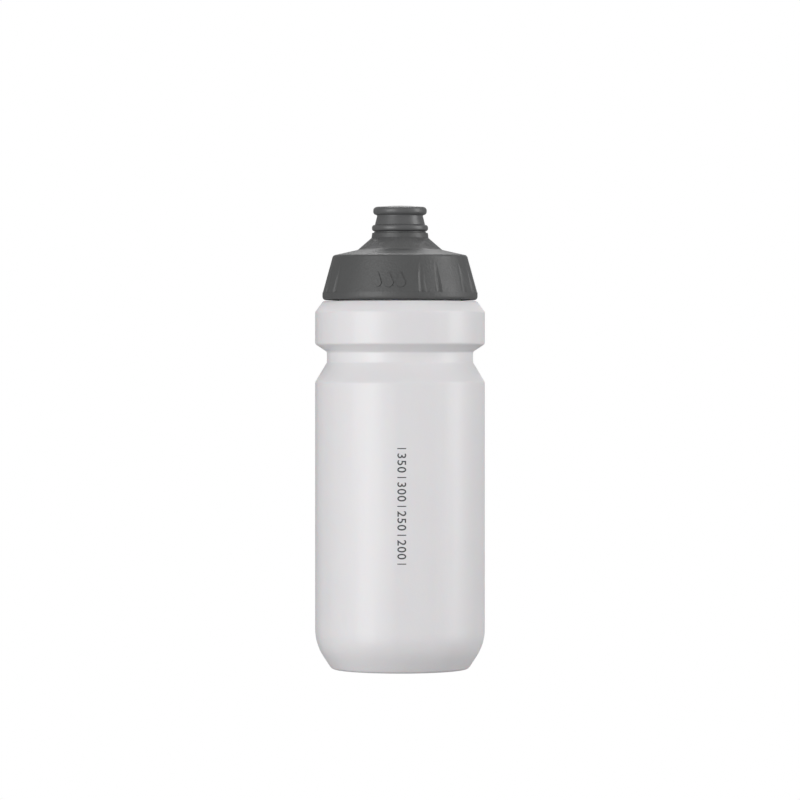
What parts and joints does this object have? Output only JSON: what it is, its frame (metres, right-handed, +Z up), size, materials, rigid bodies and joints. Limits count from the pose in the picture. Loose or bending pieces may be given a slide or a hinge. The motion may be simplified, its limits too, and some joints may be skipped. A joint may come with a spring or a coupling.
{
  "type": "bicycle water bottle",
  "caption": "Round squeeze bottle with a cage groove, a fluted screw cap and a push-pull nozzle over a self-closing valve.",
  "frame": {"origin": "centre of the ring that the bottle stands on", "axes": "+Z up along the bottle's axis; -Y is the front, with the smooth panel of the cap and the volume scale"},
  "size_m": [0.074, 0.074, 0.2017],
  "materials": {
    "squeeze_body": "satin, slightly pearly low-density polyethylene",
    "cap_plastic": "fine matt moulded texture",
    "nozzle_plastic": "smooth polypropylene",
    "soft_nozzle": "smooth soft-touch elastomer",
    "valve_plastic": "smooth polypropylene",
    "silicone": "translucent silicone"
  },
  "bodies": {
    "bottle": {"bottle_body": "squeeze_body"},
    "gasket": {"cap_gasket": "silicone"},
    "cap": {"cap_shell": "cap_plastic", "valve_post": "valve_plastic", "flow_valve": "silicone", "valve_retainer": "valve_plastic", "nozzle_o_ring": "silicone"},
    "nozzle": {"nozzle_core": "nozzle_plastic", "nozzle_sleeve": "soft_nozzle"}
  },
  "joints": [
    {"name": "cap_lift", "type": "slide", "parent": "bottle", "child": "gasket", "axis": [0, 0, 1], "range_m": [0, 0.013]},
    {"name": "cap_turn", "type": "hinge", "parent": "gasket", "child": "cap", "pos_m": [0, 0, 0.17], "axis": [0, 0, 1], "range_deg": [0, 936]},
    {"name": "nozzle_pull", "type": "slide", "parent": "cap", "child": "nozzle", "axis": [0, 0, 1], "range_m": [0, 0.0055]}
  ],
  "couplings": [
    {"joint": "cap_lift", "follows": "cap_turn", "m_per_rad": 0.00079577}
  ]
}
